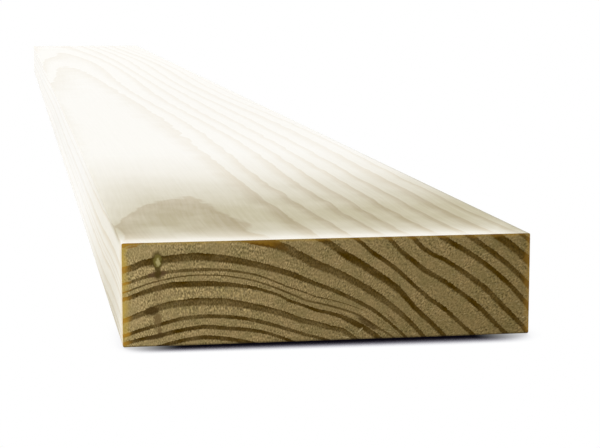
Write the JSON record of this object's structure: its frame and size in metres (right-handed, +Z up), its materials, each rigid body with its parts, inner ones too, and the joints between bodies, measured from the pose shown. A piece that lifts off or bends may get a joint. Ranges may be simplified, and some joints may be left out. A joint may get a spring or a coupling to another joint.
{
  "type": "timber plank",
  "caption": "Straight dressed softwood plank of rectangular section, planed on its long faces with eased arrises and sawn square at both ends, for building and joinery.",
  "frame": {"origin": "middle of the underside, halfway along the length and across the width", "axes": "+Y along the length away from the pictured end, +X across the width, +Z up through the thickness"},
  "size_m": [0.14, 1.8, 0.035],
  "materials": {
    "softwood": "planed, unfinished"
  },
  "bodies": {
    "root": {"plank": "softwood"}
  },
  "joints": []
}
